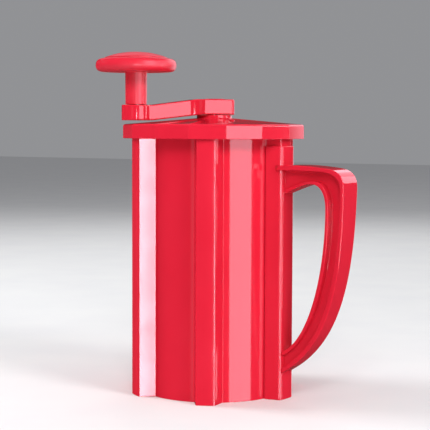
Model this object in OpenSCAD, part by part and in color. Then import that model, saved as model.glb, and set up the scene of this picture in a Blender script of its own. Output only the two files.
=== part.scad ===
// Crank sausage stuffer: a fluted barrel with a jug handle, and a screw-on lid that carries
// the crank, the lead screw and the piston. Millimetres, +Z up, handle towards +X.

/* [Barrel] */
// Height of the barrel's fluted body
body_h = 201.8; // [190:0.2:215]
// Radius of the barrel between the flutes
flat_r = 56.5; // [54:0.5:58]
// Radius over the flutes
lobe_r = 68; // [66:0.5:69]
// Half width of a flute where it leaves the barrel
lobe_base = 10.9; // [10:0.1:12]
// Half width of a flute at its crest
lobe_crest = 7.3; // [6:0.1:8]
// Sideways lean of a flute's crest
lobe_lean = 1.4; // [0:0.1:2]
// Wall thickness of the barrel
wall = 2.4; // [2:0.1:3]
// Height of the chamber's floor above the table
floor_z = 26; // [24:0.5:30]

/* [Lid] */
// Radius to the corners of the lid's sixteen-sided rim
lid_r = 72.8; // [72.6:0.1:74]
// Height of the rim's upright faces
lid_rim = 9.3; // [9:0.1:10]
// Rise of the lid's shallow roof
lid_rise = 4.7; // [4:0.1:5]

/* [Crank] */
// Distance from the screw's axis to the knob's axis
crank_r = 65.3; // [60:0.1:70]
// Direction of the crank at rest, from the handle
crank_angle = -125; // [-180:1:180]
// Depth of the crank arm
arm_t = 12; // [11:0.5:12]
// Radius of the knob's cap
knob_r = 31.4; // [28:0.2:34]

/* [Screw and piston] */
// Radius of the lead screw over its thread
screw_r = 7; // [6.5:0.1:7.4]
// Height of the lead screw's lower end
screw_end = 34; // [33:0.5:38]
// Height of the piston's pressing face when it is fully raised
piston_z = 178.5; // [176:0.5:180]

/* [Handle] */
// Width of the handle's flanges at its upper end
handle_w = 23.2; // [21:0.2:24]
// Width of the handle's flanges at its lower end
handle_foot = 16.2; // [14:0.2:20]
// Thickness of the web between the flanges
web_t = 8.2; // [6.6:0.2:10]
// Thickness of the handle's outer flange
outer_flange = 3.8; // [3:0.2:5.2]
// Thickness of the handle's inner flange
inner_flange = 3; // [2.4:0.2:4]
// Thickness of the saddle strip that carries the handle
saddle_t = 2; // [1.5:0.1:2.4]

/* [Outlet] */
// Radius of the opening in the outlet nut
outlet_r = 15; // [12:0.5:15]

/* [Hidden] */
$fn = 96;

lobe_count = 6;
crest_round = 1;       // radius of the rounded corners of a flute's crest
red = "crimson";
gap = 0.3;            // clearance between pieces that move past each other
fit_gap = 0.06;       // radial clearance of a running fit

neck_r = 68.6;
neck_top = body_h + 6.4;
neck_base = body_h + 0.4;
skirt_r = neck_r + 0.4;
collar_out = 19;
collar_in = 14.5;
collar_end = 5;
nut_r = 26;
nut_h = 16;
lip_h = 3;
saddle_top = body_h - 5.6;
screw_heights = [36, 172];
head_r = 3.4;
head_h = 1.3;
head_x = lobe_r - wall + 0.15;

lid_z = body_h - 0.2;
lid_edge = 2;
roof_z = lid_z + lid_rim + lid_edge;
boss_r = 14;
boss_top = roof_z + lid_rise + 2.6;
hub_z = boss_top + gap;
hub_half = 13.2;
hub_top = hub_z + arm_t;
journal_r = 6;
bush_r = 9;
bush_z = lid_z + 11.3;
drive_half = 4.2;
arm_drop = 4.8;
pin_r = 3;
knob_z = hub_top - arm_drop + gap;
knob_under = knob_z + 25.4;
knob_waist = knob_under + 4.6;
cap_r = 24.8;
cap_z = knob_under + 10.2;
cap_top = knob_under + 15.3;
collar_z = bush_z - 6.7;

// ---- plan outline of the fluted barrel ----
function unit(v) = v / norm(v);
function turned(p, a) = [p[0] * cos(a) - p[1] * sin(a), p[0] * sin(a) + p[1] * cos(a)];

// Points of a round of radius r at corner b of the path a, b, c
function rounded(a, b, c, r, n) =
    let (u = unit(a - b), v = unit(c - b), half = acos(u * v) / 2)
    let (m = b + unit(u + v) * r / sin(half))
    let (s = b + u * r / tan(half) - m, e = b + v * r / tan(half) - m)
    let (way = cross(s, e) > 0 ? 1 : -1)
    [for (i = [0:n]) m + turned(s, way * (180 - 2 * half) * i / n)];

foot_x = sqrt(flat_r * flat_r - lobe_base * lobe_base);
foot_a = asin(lobe_base / flat_r);
crest_lo = [sqrt(pow(lobe_r, 2) - pow(lobe_crest + lobe_lean, 2)), -lobe_crest - lobe_lean];
crest_hi = [sqrt(pow(lobe_r, 2) - pow(lobe_crest - lobe_lean, 2)), lobe_crest - lobe_lean];
crest_mid = [lobe_r, -lobe_lean];
between = [for (i = [1:4]) let (a = foot_a + (60 - 2 * foot_a) * i / 5)
           flat_r * [cos(a), sin(a)]];
flute = concat([[foot_x, -lobe_base], crest_lo, crest_mid, crest_hi, [foot_x, lobe_base]], between);
sharp_outline = [for (k = [0:lobe_count - 1], p = flute) turned(p, 60 * k)];

// A closed path moved inwards by d at right angles to its sides
function inset(path, d) =
    let (n = len(path))
    [for (i = [0:n - 1])
     let (p = path[i], q = unit(p - path[(i + n - 1) % n]), r = unit(path[(i + 1) % n] - p))
     let (a = [-q[1], q[0]], b = [-r[1], r[0]])
     p + d * (a + b) / (1 + a * b)];

// The barrel's outline moved inwards by d, with its crests' corners rounded
function outline(d) =
    let (path = inset(sharp_outline, d))
    [for (i = [0:len(path) - 1])
     let (j = i % len(flute))
     each (j == 1 || j == 3 ?
           rounded(path[i - 1], path[i], path[i + 1], max(crest_round - d, 0.6), 4) : [path[i]])];

module fluted(z0, z1, d) {
    translate([0, 0, z0])
        linear_extrude(height = z1 - z0) polygon(outline(d));
}

module tube(z0, z1, r_out, r_in) {
    translate([0, 0, z0]) difference() {
        cylinder(r = r_out, h = z1 - z0);
        translate([0, 0, -1]) cylinder(r = r_in, h = z1 - z0 + 2);
    }
}

module disc(z0, z1, r) {
    translate([0, 0, z0]) cylinder(r = r, h = z1 - z0);
}

// ---- barrel ----
// Holes along X for the handle's screws, from 60 mm off the axis to depth mm further out
module handle_screw_holes(r, depth) {
    for (z = screw_heights)
        translate([60, -lobe_lean, z]) rotate([0, 90, 0]) cylinder(r = r, h = depth, $fn = 32);
}

module barrel() {
    color(red) difference() {
        union() {
            difference() {
                union() {
                    fluted(0, neck_base + 1, 0);
                    disc(neck_base, neck_top, neck_r);
                }
                fluted(floor_z, neck_top + 1, wall);
                fluted(-1, floor_z - 3, wall);
            }
            disc(collar_end, floor_z - 1, collar_out);
        }
        disc(collar_end - 1, floor_z + 1, collar_in);
        handle_screw_holes(2, 23);
        handle_screw_holes(head_r + 0.2, head_x + head_h + 0.05 - 60);
    }
}

module outlet_gasket() {
    color("gainsboro") tube(lip_h, collar_end, collar_out - 0.1, collar_in);
}

module outlet_nut() {
    color(red) difference() {
        union() {
            disc(0, nut_h, nut_r - 1.6);
            for (k = [0:11])
                rotate(30 * k) translate([nut_r - 2.4, -3, 0]) cube([2.4, 6, nut_h]);
        }
        disc(-1, nut_h + 1, outlet_r);
        disc(lip_h, nut_h + 1, collar_out + 0.1);
    }
}

// ---- handle ----
// Point of a cubic curve with control points a, b, c, d
function bezier(a, b, c, d, t) =
    pow(1 - t, 3) * a + 3 * t * pow(1 - t, 2) * b + 3 * t * t * (1 - t) * c + pow(t, 3) * d;
function curve(a, b, c, d, n) = [for (i = [1:n]) bezier(a, b, c, d, i / n)];

outer_path = concat([[68, 20.5]],
    curve([68, 20.5], [109.6, 43.1], [122.5, 87.8], [123.8, 164], 14),
    curve([123.8, 164], [124.1, 175.5], [118.3, 179.2], [108, 180.2], 8),
    [[84, 182.4], [65, 181.4]]);
inner_path = concat([[69, 37]],
    curve([70, 38], [95.6, 49], [108.1, 107.8], [108.4, 150], 12),
    curve([108.4, 150], [108.4, 161], [104, 168], [96, 168], 6),
    curve([96, 168], [88, 168], [79, 163.5], [69, 159.3], 6));
inner_end = 11;        // width of the inner flange where its upper end meets the saddle
function reversed(path) = [for (i = [len(path) - 1:-1:0]) path[i]];

// An open path moved sideways by d
function beside(path, d) =
    [for (i = [0:len(path) - 1])
     let (a = path[max(i - 1, 0)], b = path[min(i + 1, len(path) - 1)], u = unit(b - a))
     path[i] + d * [-u[1], u[0]]];

module upright(width, path) {
    translate([0, width / 2 - lobe_lean, 0])
        rotate([90, 0, 0]) linear_extrude(height = width) polygon(path);
}

// Width of the handle at height z, and the wedge that tapers it
function width_at(z) = handle_foot + (handle_w - handle_foot) * (z - 20) / 162;
module handle_taper() {
    translate([50, -lobe_lean, 0]) rotate([90, 0, 90]) linear_extrude(height = 80)
        polygon([for (c = [[-1, 0], [1, 0], [1, body_h], [-1, body_h]])
                 [c[0] * width_at(c[1]) / 2, c[1]]]);
}

// What is cut from the sides of the inner flange's upper end to narrow it towards the saddle
module flange_trim() {
    translate([0, -lobe_lean, 150]) linear_extrude(height = 24)
        for (s = [-1, 1])
            polygon([[65, s * inner_end / 2], [70, s * inner_end / 2], [96, s * handle_w / 2],
                     [96, s * handle_w], [65, s * handle_w]]);
}

module handle() {
    pocket = concat(beside(outer_path, outer_flange), reversed(beside(inner_path, -inner_flange)));
    side = (width_at(body_h) - web_t) / 2 + 1;
    color(red) difference() {
        intersection() {
            upright(width_at(body_h) + 2, concat(outer_path, reversed(inner_path)));
            handle_taper();
        }
        for (s = [-1, 1])
            translate([0, s * (web_t + side) / 2, 0]) upright(side, pocket);
        flange_trim();
        fluted(0, body_h, -saddle_t);
        handle_screw_holes(1.6, 23);
    }
}

module handle_saddle() {
    color(red) difference() {
        intersection() {
            fluted(0, saddle_top, -saddle_t);
            translate([50, -lobe_base - 1.6, -1]) cube([30, 2 * lobe_base + 3.2, body_h]);
        }
        fluted(-1, body_h, 0);
        handle_screw_holes(2, 23);
    }
}

module handle_screws() {
    color("silver") for (z = screw_heights) translate([head_x, -lobe_lean, z]) rotate([0, 90, 0]) {
        cylinder(r = head_r, h = head_h, $fn = 32);
        cylinder(r = 1.5, h = 15.5, $fn = 32);
    }
}

// ---- lid ----
function sixteen(r) = [for (k = [0:15]) r * [cos(22.5 * k - 4), sin(22.5 * k - 4)]];

module taper(z0, h, r0, r1) {
    translate([0, 0, z0]) linear_extrude(height = h, scale = r1 / r0) polygon(sixteen(r0));
}

module lid() {
    color(red) difference() {
        union() {
            translate([0, 0, lid_z]) linear_extrude(height = lid_rim) polygon(sixteen(lid_r));
            taper(lid_z + lid_rim, lid_edge, lid_r, lid_r - 2);
            taper(roof_z, lid_rise, lid_r - 2, boss_r);
            disc(roof_z + 1, boss_top, boss_r);
        }
        disc(lid_z - 1, neck_top + 1.6, skirt_r);
        translate([0, 0, neck_top + 1.5]) cylinder(r1 = 60, r2 = 16, h = bush_z - neck_top - 1.5);
        disc(lid_z, boss_top + 1, bush_r);
    }
}

module lid_seal() {
    color("gainsboro") tube(neck_top, neck_top + 1.6, neck_r - 0.6, neck_r - 2.8);
}

module lid_bush() {
    color("ivory") difference() {
        union() {
            disc(bush_z - 1, boss_top, bush_r);
            disc(bush_z - 2.5, bush_z, 13);
        }
        disc(lid_z, boss_top + 1, journal_r + fit_gap);
    }
}

// ---- crank ----
// Everything on the crank is drawn along +X and turned to its rest direction
module at_knob() {
    rotate(crank_angle) translate([crank_r, 0, 0]) children();
}

arm_plan = let (h = hub_half, half = 8, waist = 27)
    concat(rounded([-h, h], [-h, -h], [h, -h], 4, 4),
           rounded([-h, -h], [h - 1, -h], [h + 3, -half - 2], 1.5, 3),
           curve([h + 0.6, -h + 0.9], [h + 4, -half - 1.8], [waist - 6, -half], [waist, -half], 5),
           [[crank_r, -half + 0.5], [crank_r, half - 0.5]],
           reversed(concat([[h + 0.6, h - 0.9]],
           curve([h + 0.6, h - 0.9], [h + 4, half + 1.8], [waist - 6, half], [waist, half], 5))),
           reversed(rounded([-h, h], [h - 1, h], [h + 3, half + 2], 1.5, 3)),
           rounded([h, h], [-h, h], [-h, -h], 4, 4));

module crank_arm() {
    drop = arm_drop;
    side = [[-20, 0], [13, 0], [54, -drop], [90, -drop], [90, arm_t - drop],
            [54, arm_t - drop], [17, arm_t], [-20, arm_t]];
    color(red) rotate(crank_angle) difference() {
        intersection() {
            translate([0, 0, hub_z - 20]) union() {
                linear_extrude(height = 60) polygon(arm_plan);
                translate([crank_r, 0, 0]) cylinder(r = 11.3, h = 60);
            }
            translate([0, 30, hub_z]) rotate([90, 0, 0]) linear_extrude(height = 60) polygon(side);
        }
        translate([-drive_half, -drive_half, hub_z - 1])
            cube([2 * drive_half, 2 * drive_half, 8]);
        disc(hub_z - 1, hub_top, 3);
        disc(hub_top - 3, hub_top + 1, 9);
        translate([crank_r, 0, 0]) disc(hub_z - 10, hub_top, pin_r);
        translate([crank_r, 0, 0]) disc(hub_z - 10, hub_z - drop + 1.6, 5);
    }
}

module lead_screw() {
    square_h = 6.9;
    color("silver") difference() {
        union() {
            disc(screw_end, collar_z, screw_r);
            disc(collar_z, collar_z + 3, 11);
            disc(collar_z, hub_z, journal_r);
            rotate(crank_angle) translate([-drive_half + 0.05, -drive_half + 0.05, hub_z - 1])
                cube([2 * drive_half - 0.1, 2 * drive_half - 0.1, square_h + 1]);
        }
        disc(hub_z - 8, hub_top, 2.6);
        disc(screw_end - 1, screw_end + 11, 2.1);
    }
}

module thrust_washer() {
    color("gold") tube(collar_z + 3, bush_z - 2.5 - 0.05, 12, journal_r + fit_gap);
}

module hub_washer() {
    color("silver") tube(hub_top - 3, hub_top - 2.2, 7, 3);
}

module hub_screw() {
    color("silver") difference() {
        union() {
            disc(hub_z - 7, hub_top - 2.2, 2.5);
            disc(hub_top - 2.2, hub_top - 1.4, 5);
        }
        translate([0, 0, hub_top - 1.8]) linear_extrude(height = 2) circle(r = 2, $fn = 6);
    }
}

module hub_cap() {
    color(red) union() {
        disc(hub_top - 1.2, hub_top, 8.9);
        tube(hub_top - 3, hub_top - 1.2, 8.9, 7.4);
    }
}

module end_washer() {
    color("silver") tube(screw_end - 1.5, screw_end, 9.5, 2.1);
}

module end_screw() {
    color("silver") difference() {
        union() {
            disc(screw_end - 4.5, screw_end - 1.5, 4.5);
            disc(screw_end - 1.5, screw_end + 10, 2);
        }
        translate([0, 0, screw_end - 5]) linear_extrude(height = 2.5) circle(r = 2, $fn = 6);
    }
}

module knob_pin() {
    color("silver") at_knob() union() {
        disc(hub_z - arm_drop + 0.2, hub_z - arm_drop + 1.6, 4.9);
        disc(hub_z - arm_drop + 1.6, knob_under + 9.4, pin_r);
    }
}

module knob_washer() {
    color("gainsboro") at_knob() tube(knob_under + 6.4, knob_under + 7.2, 6.5, pin_r + fit_gap);
}

module knob_clip() {
    color("silver") at_knob() tube(knob_under + 7.3, knob_under + 8.3, 6, pin_r);
}

module knob() {
    rim = concat([[8.3, knob_z], [8.5, knob_under], [knob_r - 4.6, knob_under]],
        curve([knob_r - 4.6, knob_under], [knob_r - 1.8, knob_under],
              [knob_r, knob_under + 2], [knob_r, knob_waist], 6),
        curve([knob_r, knob_waist], [knob_r, knob_waist + 4],
              [cap_r + 4.2, cap_z - 1.2], [cap_r + 0.2, cap_z + 0.4], 6),
        [[cap_r, cap_z - 1.4], [0, cap_z - 1.4], [0, knob_z]]);
    color(red) at_knob() difference() {
        rotate_extrude() polygon(rim);
        disc(knob_z - 1, cap_z, pin_r + fit_gap);
        disc(knob_under + 6.4, cap_z, 8);
    }
}

module knob_cap() {
    dome = concat([[0, cap_z - 1.4], [cap_r - 0.1, cap_z - 1.4], [cap_r - 0.1, cap_z + 0.2]],
        curve([cap_r - 0.1, cap_z + 0.2], [cap_r - 5, cap_z + 3],
              [cap_r - 14, cap_top], [0, cap_top], 8));
    color(red) at_knob() difference() {
        rotate_extrude() polygon(dome);
        disc(cap_z - 2, cap_z + 0.6, 8);
    }
}

// ---- piston ----
piston_hub = piston_z + 2.5;

module piston_holes(r) {
    for (k = [0:3])
        rotate(45 + 90 * k) translate([15, 0, piston_z - 3]) cylinder(r = r, h = 16, $fn = 24);
}

module piston() {
    color(red) difference() {
        union() {
            difference() {
                fluted(piston_hub + 5, piston_hub + 20, wall + 0.8);
                fluted(piston_hub + 9, piston_hub + 21, wall + 3.6);
            }
            disc(piston_hub + 5, piston_hub + 17, 19);
        }
        disc(piston_z, piston_hub + 21, 12.1);
        piston_holes(1.2);
    }
}

module piston_seal() {
    color("gainsboro") difference() {
        fluted(piston_hub + 2.5, piston_hub + 5, wall + gap);
        disc(piston_hub, piston_hub + 6, 12.1);
        piston_holes(1.6);
    }
}

module clamp_plate() {
    color(red) difference() {
        fluted(piston_hub, piston_hub + 2.5, wall + 3);
        disc(piston_hub - 1, piston_hub + 3, 12.1);
        piston_holes(1.6);
    }
}

module piston_nut() {
    color("ivory") difference() {
        union() {
            disc(piston_z, piston_hub, 19);
            disc(piston_hub, piston_hub + 18, 12);
        }
        disc(piston_z - 1, piston_hub + 19, screw_r + gap);
        piston_holes(1.6);
    }
}

module piston_screws() {
    color("silver") for (k = [0:3]) rotate(45 + 90 * k) translate([15, 0, 0]) {
        translate([0, 0, piston_z - 1.8]) cylinder(r = 2.8, h = 1.8, $fn = 24);
        translate([0, 0, piston_z]) cylinder(r = 1.15, h = 12, $fn = 24);
    }
}

barrel();
handle_saddle();
handle();
handle_screws();
outlet_gasket();
outlet_nut();
lid();
lid_seal();
lid_bush();
crank_arm();
lead_screw();
thrust_washer();
hub_washer();
hub_screw();
hub_cap();
end_washer();
end_screw();
knob_pin();
knob_clip();
knob_washer();
knob();
knob_cap();
piston();
piston_seal();
clamp_plate();
piston_nut();
piston_screws();
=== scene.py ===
# %% [markdown]
# # A crank sausage stuffer in gloss red plastic
# The object is a tall barrel with six flutes, a jug handle on one of them, and a screw-on lid
# that carries a crank, a lead screw and a piston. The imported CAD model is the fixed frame: it says
# where every piece is and what moves. Each lesson below makes one piece of the look around it.

# %% Load the frame
import math
import bpy
import bmesh
import numpy as np
from mathutils import Matrix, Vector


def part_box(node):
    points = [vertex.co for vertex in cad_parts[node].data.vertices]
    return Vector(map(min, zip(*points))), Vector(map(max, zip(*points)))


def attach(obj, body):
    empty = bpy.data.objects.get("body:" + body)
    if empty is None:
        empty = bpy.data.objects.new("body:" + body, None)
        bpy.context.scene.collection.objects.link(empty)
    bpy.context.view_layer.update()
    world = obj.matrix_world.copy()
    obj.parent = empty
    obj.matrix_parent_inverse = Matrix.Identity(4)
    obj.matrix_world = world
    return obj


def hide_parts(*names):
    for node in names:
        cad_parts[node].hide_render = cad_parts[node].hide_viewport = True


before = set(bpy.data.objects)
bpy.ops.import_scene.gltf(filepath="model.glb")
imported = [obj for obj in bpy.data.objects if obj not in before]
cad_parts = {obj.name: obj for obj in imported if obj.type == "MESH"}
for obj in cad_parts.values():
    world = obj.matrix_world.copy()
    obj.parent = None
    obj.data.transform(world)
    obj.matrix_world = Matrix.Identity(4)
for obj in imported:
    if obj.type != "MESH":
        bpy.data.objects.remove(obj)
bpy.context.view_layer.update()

# %% [markdown]
# ## Sizes that come from the frame
# A shape that is drawn again has to land on the CAD piece that it stands for. The heights and
# radii below are read from the CAD pieces' own boxes. We think in millimetres here, because that
# is how such a part is drawn, and change to metres only when a mesh is made.

# %% Measure the CAD pieces
MM = 0.001


def span(node):
    """Lowest and highest corner of a CAD piece, in millimetres."""
    low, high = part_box(node)
    return np.array(low) / MM, np.array(high) / MM


neck_r = span("barrel")[1][0]
neck_top = span("barrel")[1][2]
neck_h = 6.0
neck_base = neck_top - neck_h
lid_base, boss_top = span("lid")[0][2], span("lid")[1][2]
hub_top = span("crank_arm")[1][2]
knob_low, knob_high = span("knob")
knob_x, knob_y = (knob_low[:2] + knob_high[:2]) / 2
knob_r = (knob_high[0] - knob_low[0]) / 2
crank_r = math.hypot(knob_x, knob_y)
crank_turn = math.atan2(knob_y, knob_x)
print("neck radius %.1f" % neck_r)
print("crank radius %.1f at %.0f degrees" % (crank_r, math.degrees(crank_turn)))

# %% [markdown]
# ## Materials
# Every finish is made from nodes that read Object coordinates, so the grain has a real size in
# metres and stays on the piece. Moulded plastic is never perfectly flat: its skin has a very
# faint waviness, and its gloss changes a little from place to place. Noise at two sizes gives
# both. Values that are the same everywhere are typed into the shader itself.

# %% A helper for noise-driven finishes


def new_finish(name):
    """An empty node material, with its shader and its object coordinates."""
    finish = bpy.data.materials.new(name)
    finish.use_nodes = True
    tree = finish.node_tree
    shader = tree.nodes["Principled BSDF"]
    place = tree.nodes.new("ShaderNodeTexCoord")
    return finish, tree, shader, place.outputs["Object"]


def noise(tree, where, scale, detail, stretch=(1, 1, 1)):
    """Noise with scale grains to the metre, drawn out along the axes by stretch."""
    mapping = tree.nodes.new("ShaderNodeMapping")
    mapping.inputs["Scale"].default_value = stretch
    grain = tree.nodes.new("ShaderNodeTexNoise")
    grain.inputs["Scale"].default_value = scale
    grain.inputs["Detail"].default_value = detail
    tree.links.new(where, mapping.inputs["Vector"])
    tree.links.new(mapping.outputs["Vector"], grain.inputs["Vector"])
    return grain.outputs["Fac"]


def spread(tree, value, low, high):
    """Noise runs mostly from 0.3 to 0.7, and this carries that onto low to high."""
    reach = tree.nodes.new("ShaderNodeMapRange")
    reach.inputs["From Min"].default_value = 0.3
    reach.inputs["From Max"].default_value = 0.7
    reach.inputs["To Min"].default_value = low
    reach.inputs["To Max"].default_value = high
    tree.links.new(value, reach.inputs["Value"])
    return reach.outputs["Result"]


def blend_colours(tree, value, first, second):
    """A colour between first and second, by value."""
    ramp = tree.nodes.new("ShaderNodeValToRGB")
    ramp.color_ramp.elements[0].position = 0.3
    ramp.color_ramp.elements[1].position = 0.7
    ramp.color_ramp.elements[0].color = (*first, 1)
    ramp.color_ramp.elements[1].color = (*second, 1)
    tree.links.new(value, ramp.inputs["Fac"])
    return ramp.outputs["Color"]


def add_bump(tree, shader, value, height, strength):
    """A bump of the given height in metres on the shader's normal."""
    bump = tree.nodes.new("ShaderNodeBump")
    bump.inputs["Distance"].default_value = height
    bump.inputs["Strength"].default_value = strength
    tree.links.new(value, bump.inputs["Height"])
    tree.links.new(bump.outputs["Normal"], shader.inputs["Normal"])


# %% The moulded red plastic


def gloss_plastic(name, deep, bright, smooth, dull):
    """Gloss plastic: two near reds in slow clouds, a faint orange-peel skin, and a roughness
    that wanders between smooth and dull."""
    finish, tree, shader, where = new_finish(name)
    clouds = noise(tree, where, scale=14, detail=2)
    wander = noise(tree, where, scale=60, detail=3)
    peel = noise(tree, where, scale=420, detail=2)
    tree.links.new(blend_colours(tree, clouds, deep, bright), shader.inputs["Base Color"])
    tree.links.new(spread(tree, wander, smooth, dull), shader.inputs["Roughness"])
    add_bump(tree, shader, peel, height=0.00002, strength=0.1)
    shader.inputs["IOR"].default_value = 1.5
    return finish


deep_red, bright_red = (0.70, 0.014, 0.036), (0.76, 0.018, 0.044)
red_plastic = gloss_plastic("red_plastic", deep_red, bright_red, smooth=0.06, dull=0.1)
satin_red = gloss_plastic("satin_red", deep_red, bright_red, smooth=0.3, dull=0.38)
print("reds", red_plastic.name, satin_red.name)

# %% Rubber, acetal and the metals
uneven = 0.06


def matte_finish(name, first, second, rough, grain, height):
    """A dull moulded surface with fine speckle, for silicone and acetal."""
    finish, tree, shader, where = new_finish(name)
    speckle = noise(tree, where, scale=grain, detail=4)
    tree.links.new(blend_colours(tree, speckle, first, second), shader.inputs["Base Color"])
    roughness = spread(tree, speckle, rough - uneven, rough + uneven)
    tree.links.new(roughness, shader.inputs["Roughness"])
    add_bump(tree, shader, speckle, height, strength=0.4)
    return finish


def turned_metal(name, first, second):
    """Turned metal: the lathe tool's grooves are rings round Z, so the noise changes fast along
    Z and slowly across it."""
    finish, tree, shader, where = new_finish(name)
    rings = noise(tree, where, scale=300, detail=3, stretch=(0.08, 0.08, 9))
    tree.links.new(blend_colours(tree, rings, first, second), shader.inputs["Base Color"])
    tree.links.new(spread(tree, rings, low=0.22, high=0.38), shader.inputs["Roughness"])
    add_bump(tree, shader, rings, height=0.00002, strength=0.35)
    shader.inputs["Metallic"].default_value = 1
    return finish


seal_rubber = matte_finish("seal_rubber", (0.62, 0.62, 0.6), (0.74, 0.74, 0.71),
                           rough=0.6, grain=900, height=0.00004)
bush_plastic = matte_finish("bush_plastic", (0.74, 0.71, 0.62), (0.82, 0.8, 0.72),
                            rough=0.42, grain=700, height=0.00002)
steel = turned_metal("steel", (0.5, 0.5, 0.51), (0.66, 0.66, 0.67))
brass = turned_metal("brass", (0.62, 0.42, 0.14), (0.8, 0.58, 0.24))
print("finishes", [finish.name for finish in bpy.data.materials])

# %% [markdown]
# ## Shapes from grids
# All the new pieces are grids of points: rows run along the piece and columns run round it. If
# the rows also close on themselves the grid is a ring doughnut, which is what a hollow moulding
# is. If they don't, each end is drawn in to one point, so the piece is closed either way.

# %% Round corners and grids
weld_gap = 2e-6  # metres between points that are merged
bevel_steps = 3


def round_corners(points, radius, steps=5):
    """Turns each corner of closed paths into an arc that touches both of its sides. The arc's
    centre is on the corner's bisector, radius / sin(half the corner) away, and its points swing
    from one touching point to the other. Works on many paths at once."""
    here = np.asarray(points, float)
    radius = np.broadcast_to(radius, here.shape[:-1])[..., None]
    back = np.roll(here, 1, -2) - here
    ahead = np.roll(here, -1, -2) - here
    back /= np.linalg.norm(back, axis=-1, keepdims=True)
    ahead /= np.linalg.norm(ahead, axis=-1, keepdims=True)
    half = np.arccos(np.clip((back * ahead).sum(-1, keepdims=True), -1, 1)) / 2
    middle = back + ahead
    middle /= np.maximum(np.linalg.norm(middle, axis=-1, keepdims=True), 1e-9)
    centre = here + middle * radius / np.sin(half)
    start = here + back * radius / np.tan(half) - centre
    finish = here + ahead * radius / np.tan(half) - centre
    turn = np.arctan2(start[..., 0] * finish[..., 1] - start[..., 1] * finish[..., 0],
                      (start * finish).sum(-1))
    angle = turn[..., None] * np.linspace(0, 1, steps + 1)
    x = start[..., 0:1] * np.cos(angle) - start[..., 1:2] * np.sin(angle) + centre[..., 0:1]
    y = start[..., 0:1] * np.sin(angle) + start[..., 1:2] * np.cos(angle) + centre[..., 1:2]
    return np.stack([x, y], -1).reshape(*here.shape[:-2], -1, 2)


def finish_piece(name, points, faces, body, slot, finish, nodes, bevel=0.0, sharp=50):
    """Makes the mesh in metres, merges doubled points, turns its faces outwards, rides it on
    its body and lets it stand for its CAD nodes."""
    mesh = bpy.data.meshes.new(name)
    mesh.from_pydata((points * MM).tolist(), [], faces.tolist())
    work = bmesh.new()
    work.from_mesh(mesh)
    bmesh.ops.remove_doubles(work, verts=work.verts, dist=weld_gap)
    bmesh.ops.recalc_face_normals(work, faces=work.faces)
    work.to_mesh(mesh)
    work.free()
    mesh.shade_smooth()
    mesh.materials.append(finish)
    piece = bpy.data.objects.new(name, mesh)
    bpy.context.scene.collection.objects.link(piece)
    if bevel:
        edge = piece.modifiers.new("edge", "BEVEL")
        edge.width = bevel * MM
        edge.segments = bevel_steps
        edge.limit_method = "ANGLE"
        edge.angle_limit = math.radians(sharp)
    flat = piece.modifiers.new("flat", "WEIGHTED_NORMAL")
    flat.keep_sharp = True
    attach(piece, body)
    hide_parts(*nodes)
    print("%s: %d points, %d faces" % (name, len(mesh.vertices), len(mesh.polygons)))
    return piece


def grid_faces(rows, columns, ring):
    """Squares between each point and its next row and next column; the columns always close."""
    row = np.arange(rows if ring else rows - 1)[:, None]
    column = np.arange(columns)[None, :]
    after, beside = (row + 1) % rows, (column + 1) % columns
    square = [row * columns + column, row * columns + beside,
              after * columns + beside, after * columns + column]
    return np.stack(np.broadcast_arrays(*square), -1).reshape(-1, 4)


def close_ends(grid):
    """Adds a row at each end where all the points meet in the middle."""
    first = np.repeat(grid[:1].mean(1, keepdims=True), grid.shape[1], 1)
    last = np.repeat(grid[-1:].mean(1, keepdims=True), grid.shape[1], 1)
    return np.concatenate([first, grid, last])


def grid_piece(name, grid, body, slot, finish, nodes, ring=True, **more):
    """A piece from a grid of points, rows by columns by three."""
    grid = grid if ring else close_ends(grid)
    faces = grid_faces(grid.shape[0], grid.shape[1], ring)
    return finish_piece(name, grid.reshape(-1, 3), faces, body, slot, finish, nodes, **more)


def stack(outlines, heights):
    """Flat outlines, each lifted to its height."""
    rise = np.asarray(heights, float)[:, None, None]
    return np.concatenate([outlines, np.broadcast_to(rise, (*outlines.shape[:2], 1))], -1)


def raised(rows):
    """The grid of a list of rows, each of them an outline and its height."""
    return stack(np.array([outline for outline, _ in rows]), [height for _, height in rows])


def circle_like(outline, radius):
    """A circle whose points look the same way from the axis as the outline's points."""
    return outline / np.linalg.norm(outline, axis=-1, keepdims=True) * radius


# %% [markdown]
# ## The fluted outline
# From above the barrel is a circle with six flat-topped flutes that lean a little to one side.
# The moulder's tool leaves a round at each crest corner and a small one at each foot. Each of
# those rounds is an arc that touches a straight flank on one side and a circle on the other, so
# we solve for its centre exactly. A wall of even thickness is the same outline moved inwards.

# %% Draw the outline
flat_r, lobe_r = 56.5, 68.0
lobe_base, lobe_crest, lobe_lean = 10.9, 7.3, 1.4
crest_round, foot_round, least_round = 1.0, 0.5, 0.6
wall = 2.4
foot_steps, flank_steps, corner_steps, crest_steps, flat_steps = 4, 3, 7, 10, 16


def arc(centre, start, end, steps):
    """Points on the short arc about centre from start to end, without the last one."""
    a, b = start - centre, end - centre
    turn = math.atan2(a[0] * b[1] - a[1] * b[0], a @ b)
    angle = turn * np.arange(steps) / steps
    return centre + np.stack([a[0] * np.cos(angle) - a[1] * np.sin(angle),
                              a[0] * np.sin(angle) + a[1] * np.cos(angle)], -1)


def along(point, way, radius):
    """Where the line from point along way meets the circle about the axis, nearest to point."""
    b, c = point @ way, point @ point - radius ** 2
    root = math.sqrt(b * b - c)
    step = min(-b - root, -b + root, key=abs)
    return point + way * step


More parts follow.
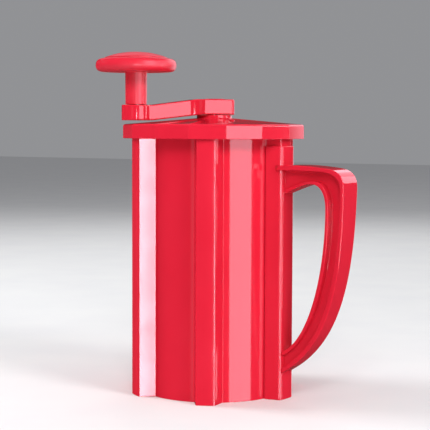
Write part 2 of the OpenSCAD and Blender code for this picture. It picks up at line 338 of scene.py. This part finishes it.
def flute_side(side, inset):
    """The two rounds of one flank: its touching points and centres, from the flat to the crest."""
    foot = np.array([math.sqrt(flat_r ** 2 - lobe_base ** 2), side * lobe_base])
    corner_y = side * lobe_crest - lobe_lean
    corner = np.array([math.sqrt(lobe_r ** 2 - corner_y ** 2), corner_y])
    way = (corner - foot) / np.linalg.norm(corner - foot)
    outward = np.array([-way[1], way[0]]) * side
    low_r, high_r = foot_round + inset, max(crest_round - inset, least_round)
    low = along(foot + outward * (low_r - inset), way, flat_r - inset + low_r)
    high = along(corner - outward * (high_r + inset), way, lobe_r - inset - high_r)
    return {"low": low, "flat": low * (flat_r - inset) / np.linalg.norm(low),
            "flank_low": low - outward * low_r, "flank_high": high + outward * high_r,
            "high": high, "crest": high * (lobe_r - inset) / np.linalg.norm(high)}


def fluted(inset):
    """The closed outline of the six flutes, moved inwards by inset, always in the same order of
    points, so that outlines at different insets can be joined point to point."""
    a, b = flute_side(-1, inset), flute_side(1, inset)
    turn = math.radians(60)
    onward = np.array([[math.cos(turn), -math.sin(turn)], [math.sin(turn), math.cos(turn)]])
    axis = np.zeros(2)
    share = np.arange(flank_steps)[:, None] / flank_steps
    flute = np.concatenate([
        arc(a["low"], a["flat"], a["flank_low"], foot_steps),
        a["flank_low"] + (a["flank_high"] - a["flank_low"]) * share,
        arc(a["high"], a["flank_high"], a["crest"], corner_steps),
        arc(axis, a["crest"], b["crest"], crest_steps),
        arc(b["high"], b["crest"], b["flank_high"], corner_steps),
        b["flank_high"] + (b["flank_low"] - b["flank_high"]) * share,
        arc(b["low"], b["flank_low"], b["flat"], foot_steps),
        arc(axis, b["flat"], onward @ a["flat"], flat_steps)])
    turns = turn * np.arange(6)[:, None]
    x = flute[:, 0] * np.cos(turns) - flute[:, 1] * np.sin(turns)
    y = flute[:, 0] * np.sin(turns) + flute[:, 1] * np.cos(turns)
    return np.stack([x, y], -1).reshape(-1, 2)


outer_line, inner_line = fluted(0.0), fluted(wall)
print("outline points", len(outer_line), "widest", round(float(np.abs(outer_line).max()), 2))

# %% [markdown]
# ## The barrel
# The real barrel is one moulding: a thin fluted wall, a round neck for the lid, a floor, and a
# collar for the outlet under it. Walked from the foot up the outside, over the neck, down the
# inside and back under the floor, its section is one closed line. Carried round the axis that
# line gives the whole hollow piece with no cutting.

# %% Make the barrel
floor_top, floor_t, floor_mid_r = 26.0, 3.0, 40.0
wall_low, wall_mid, wall_high = 60.0, 120.0, neck_base - 10
collar_in, collar_out, collar_end = 14.5, 19.0, 5.0


def barrel_grid():
    """Rows of the outline at each corner of the wall's section, from the foot round to it. The
    rows between the corners only keep the faces from getting too long."""
    radii = (neck_r, floor_mid_r, collar_in, collar_out)
    neck, floor_mid, bore, collar = (circle_like(outer_line, radius) for radius in radii)
    floor_under = floor_top - floor_t
    return raised([
        (outer_line, 0), (outer_line, wall_low), (outer_line, wall_mid), (outer_line, wall_high),
        (outer_line, neck_base), (neck, neck_base), (neck, neck_top), (inner_line, neck_top),
        (inner_line, wall_mid), (inner_line, floor_top), (floor_mid, floor_top),
        (bore, floor_top), (bore, collar_end), (collar, collar_end), (collar, floor_under),
        (inner_line, floor_under), (inner_line, 0)])


grid_piece("barrel_shell", barrel_grid(), "body", "red_plastic", red_plastic, ["barrel"],
           bevel=0.5)

# %% [markdown]
# ## The saddle
# A strip two millimetres thick runs up one flute and carries the handle. It is the same outline
# moved outwards. Its section is a closed loop, out along the far side and back along the near one.

# %% Make the saddle
saddle_out, saddle_gap, end_row = 2.0, 6.0, 4.0
saddle_top = neck_base - saddle_gap
strip_steps = 2 * flank_steps + 2 * corner_steps + crest_steps
strip = np.arange(foot_steps, foot_steps + strip_steps + 1)


def saddle_grid():
    """The strip's section, outer side then inner side, stacked from the foot to the top."""
    outer, inner = fluted(-saddle_out)[strip], outer_line[strip]
    section = np.concatenate([outer, inner[::-1]])
    heights = [0, saddle_top / 2, saddle_top - end_row, saddle_top]
    return stack(np.array([section] * len(heights)), heights)


def paired_caps(name, grid, body, slot, finish, nodes, **more):
    """A stack whose ends are closed by strips from each outer point to the inner one behind it."""
    rows, columns = grid.shape[:2]
    half = np.arange(columns // 2 - 1)
    far = columns - 1 - half
    cap = np.stack([half, half + 1, far - 1, far], -1)
    faces = np.concatenate([grid_faces(rows, columns, False), cap, cap + (rows - 1) * columns])
    return finish_piece(name, grid.reshape(-1, 3), faces, body, slot, finish, nodes, **more)


paired_caps("saddle_strip", saddle_grid(), "body", "red_plastic", red_plastic,
            ["handle_saddle"], bevel=0.5)

# %% [markdown]
# ## The handle
# The handle is a channel: two flanges with a thinner web between them, so that it cools evenly in
# the mould. It gets narrower towards its foot, and so does the inner flange's upper end. One
# section, shaped like a letter I, is carried from the lower end to the upper one between two
# curves, the outer edge and the inner edge.

# %% The handle's two curves


def bezier(a, b, c, d, steps):
    """Points of a cubic curve: four control points blended by powers of t and 1 - t."""
    t = np.linspace(0, 1, steps)[:, None]
    a, b, c, d = (np.array(p, float) for p in (a, b, c, d))
    return (1 - t) ** 3 * a + 3 * t * (1 - t) ** 2 * b + 3 * t ** 2 * (1 - t) * c + t ** 3 * d


def even(path, count):
    """The same path with points at even distances along it."""
    step = np.linalg.norm(np.diff(path, axis=0), axis=1)
    reach = np.concatenate([[0], np.cumsum(step)])
    where = np.linspace(0, reach[-1], count)
    return np.stack([np.interp(where, reach, path[:, 0]), np.interp(where, reach, path[:, 1])], -1)


def matched(pieces, counts):
    """Curves joined end to end, each with its own number of even points."""
    return np.concatenate([even(piece, count)[:-1] for piece, count in zip(pieces, counts)]
                          + [pieces[-1][-1:]])


# A long side, a bend and a short end: how many stations each of them has.
stations = (70, 26, 16)
outer_edge = matched([bezier([68, 20.5], [109.6, 43.1], [122.5, 87.8], [123.8, 164], 200),
                      bezier([123.8, 164], [124.1, 175.5], [118.3, 179.2], [108, 180.2], 100),
                      bezier([108, 180.2], [97, 181.4], [84, 182.6], [65, 181.4], 60)], stations)
inner_edge = matched([bezier([69, 37.5], [95.6, 49], [108.1, 107.8], [108.4, 150], 200),
                      bezier([108.4, 150], [108.4, 161], [104, 168], [96, 168], 100),
                      bezier([96, 168], [88, 168], [79, 163.5], [69, 159.3], 60)], stations)

# %% Carry the section along them
outer_flange, inner_flange, web_t = 3.8, 3.0, 8.2
handle_foot, handle_head = 16.2, 23.2
widen_from, widen_over, upper_half = 20, 162, 100
inner_end, trim_low, trim_high = 11.0, 70.0, 96.0
section_rounds = [0.7, 0.4, 0.9, 0.9, 0.4, 0.7]
bedded = 0.5
print("handle stations", len(outer_edge), "and", len(inner_edge))


def handle_grid():
    """The I section at every station: its depth runs from the outer edge to the inner edge, its
    width grows evenly with height, and its end points stop just inside the saddle's face. The
    inner flange's upper end narrows from the full width at trim_high to inner_end at trim_low."""
    across = inner_edge - outer_edge
    depth = np.linalg.norm(across, axis=1)
    rise = (outer_edge[:, 1] - widen_from) / widen_over
    half = (handle_foot + (handle_head - handle_foot) * rise) / 2
    web = np.full_like(half, web_t / 2)
    zero, near = np.zeros_like(half), np.full_like(half, outer_flange)
    deep = depth - inner_flange
    share = np.clip((inner_edge[:, 0] - trim_low) / (trim_high - trim_low), 0, 1)
    narrow = (inner_end + (handle_head - inner_end) * share) / 2
    slim = np.where(inner_edge[:, 1] > upper_half, np.minimum(half, narrow), half)
    side = [(zero, half), (near, half), (near, web), (deep, web), (deep, slim), (depth, slim)]
    corners = np.array(side + [(a, -b) for a, b in side[::-1]]).transpose(2, 0, 1)
    section = round_corners(corners, np.array(section_rounds * 2), 3)
    way = across / depth[:, None]
    x = outer_edge[:, None, 0] + way[:, None, 0] * section[..., 0]
    z = outer_edge[:, None, 1] + way[:, None, 1] * section[..., 0]
    y = section[..., 1] - lobe_lean
    face = fluted(-saddle_out)[strip]
    x = np.maximum(x, np.interp(y, face[:, 1], face[:, 0]) - bedded)
    return np.stack([x, y, z], -1)


grid_piece("jug_handle", handle_grid(), "body", "red_plastic", red_plastic, ["handle"],
           ring=False)

# %% [markdown]
# ## The lid
# The lid is a sixteen-sided cap. Its rim's faces stand upright, its roof rises in sixteen shallow
# panels to a round boss, and underneath it is hollow to go over the neck. It is again one closed
# section carried round the axis, but the outline changes from a polygon to a circle on the way.

# %% Make the lid
lid_r, rim_h, lid_edge, panel_dip = 72.8, 9.3, 2.0, 0.45
roof_z = lid_base + rim_h + lid_edge
lid_sides, lid_turn = 16, 4
side_angle = 360 / lid_sides
lid_round, round_steps, side_steps = 1.3, 4, 5
rim_row, roof_rows = 4, [(56, 1.2), (36, 2.9), (16, 4.6)]  # each a radius and its rise
lid_boss_r, boss_rise, bush_r, well_r, hollow_r, neck_gap = 14, 4.7, 9, 16, 60, 0.4
well_z, hollow_z = lid_base + 11.3, lid_base + 8.1
corner_angle = np.radians(side_angle * np.arange(lid_sides) - lid_turn)
lid_corners = np.stack([np.cos(corner_angle), np.sin(corner_angle)], -1)


def sixteen(radius):
    """A sixteen-sided outline with small rounds at its corners and points along its sides."""
    rounded = round_corners(lid_corners * radius, lid_round * radius / lid_r, round_steps)
    rounded = rounded.reshape(lid_sides, round_steps + 1, 2)
    after = np.roll(rounded[:, 0], -1, 0)
    t = np.linspace(0, 1, side_steps + 1)[1:-1][None, :, None]
    sides = rounded[:, -1][:, None] * (1 - t) + after[:, None] * t
    return np.concatenate([rounded, sides], 1).reshape(-1, 2)


def lid_grid():
    """The lid's section: rim, rounded upper edge, roof, boss, bore, hollow and skirt. Each roof
    panel dips between its ridges by 4 * share * (1 - share) of the dip, so the ridges show."""
    base = sixteen(lid_r)
    radii = (lid_boss_r, bush_r, well_r, hollow_r, neck_r + neck_gap)
    boss, bore, well, hollow, skirt = (circle_like(base, radius) for radius in radii)
    swing = np.linspace(0, math.pi / 2, 6)
    rows = [(base, lid_base), (base, lid_base + rim_row)]
    rows += [(sixteen(lid_r - lid_edge * (1 - math.cos(a))), roof_z - lid_edge * (1 - math.sin(a)))
             for a in swing]
    roof = slice(len(rows), len(rows) + len(roof_rows))
    rows += [(sixteen(radius), roof_z + rise) for radius, rise in roof_rows]
    rows += [(boss, roof_z + boss_rise), (boss, boss_top), (bore, boss_top), (bore, well_z),
             (well, well_z), (hollow, hollow_z), (skirt, hollow_z), (skirt, lid_base)]
    grid = raised(rows)
    angle = np.degrees(np.arctan2(grid[..., 1], grid[..., 0])) + lid_turn
    share = angle % side_angle / side_angle
    grid[roof, :, 2] -= panel_dip * (4 * share * (1 - share))[roof]
    return grid


grid_piece("lid_cap", lid_grid(), "lid", "red_plastic", red_plastic, ["lid"],
           bevel=0.4, sharp=60)

# %% [markdown]
# ## The crank arm
# A square hub flares into a plain arm that drops a little and ends in a round boss under the
# knob. At each distance from the axis the arm is a rounded rectangle, as wide as its plan and as
# high as its side view, so two short lists of numbers describe all of it.

# %% Make the crank arm
hub_half, arm_half, boss_r, arm_t, arm_drop = 13.2, 8.0, 11.3, 12.0, 4.8
hub_corner, flare_end, flare_power = 4, 27, 2.6
arm_taper, taper_over = 0.5, 38
top_from, top_over, under_from, under_over = 17, 37, 13, 41
arm_round, thinnest = 1.1, 0.05
hub_z = hub_top - arm_t


def arm_half_width(x):
    """Half width: a square hub with rounded corners, a flare, a straight arm and a round boss."""
    opening = np.clip((flare_end - x) / (flare_end - hub_half), 0, 1) ** flare_power
    flare = arm_half + (hub_half - arm_half) * opening
    behind = np.clip(hub_corner - (x + hub_half), 0, hub_corner)
    rear = hub_half - hub_corner + np.sqrt(np.clip(hub_corner ** 2 - behind ** 2, 0, None))
    taper = arm_taper * np.clip((x - flare_end) / taper_over, 0, 1)
    width = np.where(x < hub_half, np.minimum(hub_half, rear), flare - taper)
    boss = np.sqrt(np.clip(boss_r ** 2 - (x - crank_r) ** 2, 0, None))
    return np.where(x > crank_r, boss, np.maximum(width, boss))


def arm_grid():
    """Rounded rectangles along the arm, turned to the crank's direction at rest. They stand
    closest together where the width changes fastest."""
    swing = np.linspace(0, math.pi / 2, 12)
    x = np.concatenate([-hub_half + hub_corner * (1 - np.cos(swing)), np.linspace(-6, 12.6, 8),
                        np.linspace(hub_half, 28, 18), np.linspace(30, crank_r - 9, 12),
                        crank_r - 8.3 * np.cos(swing), crank_r + boss_r * np.sin(swing)[1:]])
    half = np.maximum(arm_half_width(x), thinnest)
    top = hub_top - arm_drop * np.clip((x - top_from) / top_over, 0, 1)
    under = hub_z - arm_drop * np.clip((x - under_from) / under_over, 0, 1)
    corners = np.stack([np.stack([-half, under], -1), np.stack([half, under], -1),
                        np.stack([half, top], -1), np.stack([-half, top], -1)], 1)
    radius = np.minimum(arm_round, half * 0.5)[:, None] * np.ones(4)
    section = round_corners(corners, radius, 4)
    reach = np.broadcast_to(x[:, None], section.shape[:2])
    grid = np.stack([reach, section[..., 0], section[..., 1]], -1)
    c, s = math.cos(crank_turn), math.sin(crank_turn)
    return grid @ np.array([[c, s, 0], [-s, c, 0], [0, 0, 1]])


grid_piece("crank_lever", arm_grid(), "crank", "red_plastic", red_plastic,
           ["crank_arm"], ring=False, bevel=0.8)

# %% [markdown]
# ## Turned pieces
# The knob, its cap and the cover over the hub's screw are turned shapes: a profile of radius and
# height carried round an upright axis. A profile that begins and ends on the axis gives a solid
# piece, and one that closes on itself gives a ring.

# %% Carry a profile round an axis


def turned(name, profile, body, nodes, finish, x=0.0, y=0.0, columns=144, ring=False, **more):
    """Each profile point becomes a circle about the axis at x, y."""
    profile = np.asarray(profile, float)
    angle = np.linspace(0, 2 * math.pi, columns, endpoint=False)
    grid = np.stack([x + profile[:, :1] * np.cos(angle), y + profile[:, :1] * np.sin(angle),
                     np.broadcast_to(profile[:, 1:], (len(profile), columns))], -1)
    return grid_piece(name, grid, body, "red_plastic", finish, nodes, ring=ring, **more)


# %% Make the knob
stem_base = knob_low[2]
pin_bore, stem_r, stem_top_r, core_r = 3.1, 8.3, 8.5, 8.0
knob_under = stem_base + 25.4
knob_waist = knob_under + 4.6
core_top = knob_under + 6.4
cap_r, cap_z, cap_top = 24.8, knob_under + 10.2, knob_under + 15.3
seat_z = cap_z - 1.3

knob_profile = np.concatenate([
    [[pin_bore, stem_base], [stem_r, stem_base], [stem_top_r, knob_under],
     [knob_r - 4.6, knob_under]],
    bezier([knob_r - 4.6, knob_under], [knob_r - 1.8, knob_under], [knob_r, knob_under + 2],
           [knob_r, knob_waist], 14)[1:],
    bezier([knob_r, knob_waist], [knob_r, knob_waist + 4], [cap_r + 4.6, cap_z - 0.3],
           [cap_r + 0.2, cap_z + 0.1], 16)[1:],
    [[cap_r, seat_z], [core_r, seat_z], [core_r, core_top], [pin_bore, core_top]]])
turned("crank_knob", knob_profile, "knob", ["knob"], satin_red, knob_x, knob_y, ring=True,
       bevel=0.4)

# %% Make the knob's cap
# A groove half a millimetre wide and a raised edge draw the line between the cap and the knob.
groove, cap_edge = 0.5, 0.7
cover_r, cover_under = cap_r - groove, cap_z - 1.2
cap_profile = np.concatenate([
    [[0, cap_z + 0.6], [core_r, cap_z + 0.6], [core_r, cover_under], [cover_r, cover_under],
     [cover_r, cap_z + cap_edge]],
    bezier([cover_r, cap_z + cap_edge], [cover_r - 6, cap_z + 3.2], [cover_r - 14, cap_top],
           [0, cap_top], 24)[1:]])
turned("knob_cover", cap_profile, "knob", ["knob_cap"], satin_red, knob_x, knob_y, bevel=0.2)

# %% Make the hub's cover
cover_profile = [[0, hub_top - 1.2], [7.4, hub_top - 1.2], [7.4, hub_top - 3], [8.9, hub_top - 3],
                 [8.9, hub_top + 0.1], [8.5, hub_top + 0.4], [5, hub_top + 0.55], [0, hub_top + 0.6]]
turned("hub_cover", cover_profile, "crank", ["hub_cap"], red_plastic, columns=72, bevel=0.2)

# %% [markdown]
# ## The outlet nut
# The nut under the barrel holds the stuffing tube. Fingers turn it by twelve raised grips, so its
# outline is a circle with a flat-topped wave on it.

# %% Make the outlet nut
nut_r, nut_h, outlet_r, nut_bore = 26.0, 16.0, 15.0, 19.1
grips, grip_out, chamfer, lip = 12, 1.6, 0.9, 3


def nut_grid():
    """The nut's section: grips outside, a plain bore, and the lip under the gasket."""
    angle = np.linspace(0, 2 * math.pi, 288, endpoint=False)
    wave = np.clip(0.5 + 2.6 * (np.cos(grips * angle) - 0.25), 0, 1)
    wave = wave * wave * (3 - 2 * wave)
    ring = np.stack([np.cos(angle), np.sin(angle)], -1)
    grip = ring * (nut_r - grip_out + grip_out * wave)[:, None]
    slim = grip * 0.975
    bore, outlet = ring * nut_bore, ring * outlet_r
    return raised([(slim, 0), (grip, chamfer), (grip, nut_h - chamfer), (slim, nut_h),
                   (bore, nut_h), (bore, lip), (outlet, lip), (outlet, 0)])


grid_piece("tube_nut", nut_grid(), "body", "red_plastic", red_plastic, ["outlet_nut"],
           bevel=0.3)

# %% [markdown]
# ## The lead screw
# The thread has two starts and is left-handed, so that turning the crank clockwise drives the
# piston down. On a thread the radius depends on one number only, the phase, which grows both with
# height and with the angle. A clipped wave of that phase gives the flat crests and roots.

# %% Make the lead screw
screw_low, screw_high = span("lead_screw")[0][2], span("lead_screw")[1][2]
screw_r, thread_depth, pitch, starts = 7.0, 1.0, 5.0, 2
collar_z, collar_r, collar_t = lid_base + 4.6, 11, 3
journal_r, drive_half, tip = 6.0, 4.15, 3


def screw_grid():
    """Threaded length with the phase height / pitch + starts * turns, then collar and journal."""
    angle = np.linspace(0, 2 * math.pi, 72, endpoint=False)
    ring = np.stack([np.cos(angle), np.sin(angle)], -1)
    height = np.linspace(screw_low, collar_z, 345)
    phase = height[:, None] / pitch + starts * angle / (2 * math.pi)
    wave = np.clip(0.5 + 1.1 * np.cos(2 * math.pi * phase), 0, 1)
    ends = np.clip((height - screw_low) / tip, 0.25, 1)[:, None]
    radius = (screw_r - thread_depth * (1 - wave)) - (1 - ends)
    thread = stack(ring[None] * radius[..., None], height)
    collar, journal = ring * collar_r, ring * journal_r
    collar_top = collar_z + collar_t
    head = raised([(collar, collar_z), (collar, collar_top), (journal, collar_top), (journal, hub_z)])
    square = ring / np.abs(ring).max(-1, keepdims=True) * drive_half
    c, s = math.cos(crank_turn), math.sin(crank_turn)
    square = square @ np.array([[c, s], [-s, c]])
    drive = stack(np.array([square, square]), [hub_z, screw_high])
    return np.concatenate([thread, head, drive])


grid_piece("threaded_screw", screw_grid(), "crank", "steel", steel, ["lead_screw"],
           ring=False, bevel=0.25, sharp=65)

# %% [markdown]
# ## The piston
# The piston fills the fluted chamber, so its three layers are the barrel's outline moved inwards:
# a stiff cup on top, a soft seal that wipes the wall, and a plate that clamps the seal.

# %% Make the piston's plate and seal
plate_low = span("clamp_plate")[0][2]
nut_hole, layer_t = 12.1, 2.5
plate_gap, seal_gap, cup_gap, rim_t = 3, 0.3, 0.8, 2.8


def layer(name, inset, low, high, nodes, slot, finish):
    """A fluted plate with a round hole for the piston nut."""
    line = fluted(inset)
    hole = circle_like(line, nut_hole)
    grid = stack(np.array([line, line, hole, hole]), [low, high, high, low])
    return grid_piece(name, grid, "piston", slot, finish, nodes, bevel=0.3)


seal_low, cup_low = plate_low + layer_t, plate_low + 2 * layer_t
layer("clamp_disc", wall + plate_gap, plate_low, seal_low, ["clamp_plate"], "red_plastic",
      red_plastic)
layer("wiper_seal", wall + seal_gap, seal_low, cup_low, ["piston_seal"], "seal_rubber",
      seal_rubber)

# %% Make the piston's cup
cup_floor, cup_boss_top, rim_top = plate_low + 9, plate_low + 17, plate_low + 20
cup_boss_r = 19


def cup_grid():
    """The piston's cup: rim wall, floor, hub and the hole through it."""
    rim, inside = fluted(wall + cup_gap), fluted(wall + cup_gap + rim_t)
    boss, hole = circle_like(rim, cup_boss_r), circle_like(rim, nut_hole)
    return raised([(rim, cup_low), (rim, rim_top), (inside, rim_top), (inside, cup_floor),
                   (boss, cup_floor), (boss, cup_boss_top), (hole, cup_boss_top), (hole, cup_low)])


grid_piece("piston_cup", cup_grid(), "piston", "red_plastic", red_plastic, ["piston"], bevel=0.4)

# %% [markdown]
# ## The small CAD pieces
# Washers, screws, clips and bushes already have their true shape in the CAD model. They stay as
# they are and only get a finish.

# %% Give the small pieces their finishes
kept = {
    "handle_screws": steel, "hub_washer": steel, "hub_screw": steel, "end_washer": steel,
    "end_screw": steel, "knob_pin": steel, "knob_clip": steel, "piston_screws": steel,
    "thrust_washer": brass, "outlet_gasket": seal_rubber, "lid_seal": seal_rubber,
    "knob_washer": seal_rubber, "lid_bush": bush_plastic, "piston_nut": bush_plastic}
for node_name, finish in kept.items():
    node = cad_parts[node_name]
    for slot_place in node.material_slots:
        slot_place.material = finish
print("kept CAD pieces", len(kept))

# %% [markdown]
# ## Floor, light and camera
# The object stands on a plain pale floor. Gloss plastic shows mostly what it mirrors, so the
# lights are soft boxes in a circle round the object. A face whose normal points some way to the
# right of the camera mirrors what stands twice as far round, so each box's place decides which
# flanks and facets carry its bright line.
#
# Two jobs are kept apart. Mirrored boxes only show in the gloss, and colour boxes only light the
# red under it, so each can be set without spoiling the other. The gloss over this red looks cool,
# so the mirrored light has a little less green in it. The room's own light is turned down for the
# gloss, or it would lay a grey veil over every face.
#
# An upright face mirrors what is below the horizon as well, right down to its foot. The floor is
# therefore hidden from the gloss, and it casts no shadow, so that boxes which reach below it can
# still be mirrored. It is matte, so no box shows up in it.

# %% Lay the floor
floor_half = 6
floor_corners = [(x * floor_half, y * floor_half, 0) for x, y in ((-1, -1), (1, -1), (1, 1), (-1, 1))]
floor_mesh = bpy.data.meshes.new("floor")
floor_mesh.from_pydata(floor_corners, [], [(0, 1, 2, 3)])
floor = bpy.data.objects.new("floor", floor_mesh)
bpy.context.scene.collection.objects.link(floor)
pale = matte_finish("pale_floor", (0.77, 0.77, 0.78), (0.8, 0.8, 0.8),
                    rough=0.6, grain=12, height=0.00001)
pale.node_tree.nodes["Principled BSDF"].inputs["Specular IOR Level"].default_value = 0
floor_mesh.materials.append(pale)
floor.visible_glossy = False
floor.visible_shadow = False
print("floor", 2 * floor_half, "m wide")

# %% Place the camera
bearing = math.radians(-56)
camera_away, camera_up = 1.0384, 0.2102
pitch_down, roll = math.radians(3.85), math.radians(0.2)
sensor_mm, lens_mm, shift = 36.0, 108.67, 1 / 430


def around(angle_right, away, up):
    """A point at a distance from the axis, angle_right degrees to the right of the camera."""
    angle = bearing + math.radians(angle_right)
    return np.array([away * math.cos(angle), away * math.sin(angle), up])


def stand(name, data, place, forward, lean=0.0):
    """Puts a camera or a light at a place, looking along forward, leaned over by an angle."""
    ahead = np.array(forward) / np.linalg.norm(forward)
    right = np.cross(ahead, [0, 0, 1])
    right /= np.linalg.norm(right)
    over = np.cross(right, ahead)
    right, over = (right * math.cos(lean) + over * math.sin(lean),
                   over * math.cos(lean) - right * math.sin(lean))
    thing = bpy.data.objects.new(name, data)
    bpy.context.scene.collection.objects.link(thing)
    turn = np.eye(4)
    turn[:3, 0], turn[:3, 1], turn[:3, 2], turn[:3, 3] = right, over, -ahead, place
    thing.matrix_world = Matrix(turn.tolist())
    return thing


level = -around(0, 1, 0)
sight = level * math.cos(pitch_down) + np.array([0, 0, -math.sin(pitch_down)])
lens = bpy.data.cameras.new("camera")
lens.sensor_width = sensor_mm
lens.lens = lens_mm
lens.shift_x = shift
camera = stand("camera", lens, around(0, camera_away, camera_up), sight, roll)
bpy.context.scene.camera = camera
print("camera %.2f m away and %.2f m up" % (camera_away, camera_up))

# %% Make a soft box
gloss_tint, plain_white = (1, 0.88, 1), (1, 1, 1)
object_middle = np.array([0, 0, 0.12])


def soft_box(name, angle_right, away, up, width, tall, radiance, mirrored):
    """A soft box whose power is radiance * pi * area. A mirrored one faces the axis and is only
    seen in the gloss. The others face the object's middle and only light the colour under it."""
    data = bpy.data.lights.new(name, "AREA")
    data.shape = "RECTANGLE"
    data.size = width
    data.size_y = tall
    data.energy = radiance * math.pi * width * tall
    data.color = gloss_tint if mirrored else plain_white
    place = around(angle_right, away, up)
    aim = -around(angle_right, 1, 0) if mirrored else object_middle - place
    light = stand(name, data, place, aim)
    light.visible_camera = False
    light.visible_diffuse = not mirrored
    light.visible_glossy = mirrored


# %% Set the lights
boxes = [
    # name, degrees right, then metres away, up, wide and tall, then brightness and mirrored
    ("line_front", 2.15, 1.7, -0.08, 0.075, 0.64, 24.0, True),
    ("line_edges", 6.6, 1.7, -0.08, 0.05, 0.64, 40.0, True),
    ("panel_right", 43, 1.5, 0.6, 1.0, 2.0, 5.4, True),
    ("strip_side", 88, 1.5, 0.6, 0.14, 2.0, 12.0, True),
    ("panel_high", 119.5, 1.5, 0.8, 0.42, 0.85, 3.2, True),
    ("panel_back", 146, 1.5, 0.55, 1.0, 1.8, 1.8, True),
    ("panel_over", 180, 1.5, 1.2, 1.6, 0.6, 0.7, True),
    ("panel_left", -30, 1.7, 0.6, 0.4, 2.0, 0.5, True),
    ("soft_key", 45, 1.6, 1.1, 0.6, 0.6, 15.0, False),
    ("soft_front", -2, 1.6, 1.1, 0.6, 0.6, 13.0, False),
    ("soft_left", -105, 1.6, 1.0, 0.7, 0.7, 13.0, False),
    ("soft_top", 0, 0.1, 1.9, 1.0, 1.0, 1.2, False),
    ("soft_back", 170, 1.5, 1.2, 0.8, 0.8, 3.0, False)]
for box in boxes:
    soft_box(*box)
print("lights", [box[0] for box in boxes])

# %% Light the room
room_light, room_in_gloss = 0.3, 0.05
world = bpy.data.worlds.new("room")
world.use_nodes = True
room = world.node_tree
paths = room.nodes.new("ShaderNodeLightPath")
dimmer = room.nodes.new("ShaderNodeMapRange")
dimmer.inputs["To Min"].default_value = room_light
dimmer.inputs["To Max"].default_value = room_in_gloss
room.links.new(paths.outputs["Is Glossy Ray"], dimmer.inputs["Value"])
room.links.new(dimmer.outputs["Result"], room.nodes["Background"].inputs["Strength"])
room.nodes["Background"].inputs["Color"].default_value = (0.95, 0.96, 1, 1)
bpy.context.scene.world = world
bpy.context.scene.view_settings.view_transform = "Standard"
print("room light", room_light, "and in the gloss", room_in_gloss)
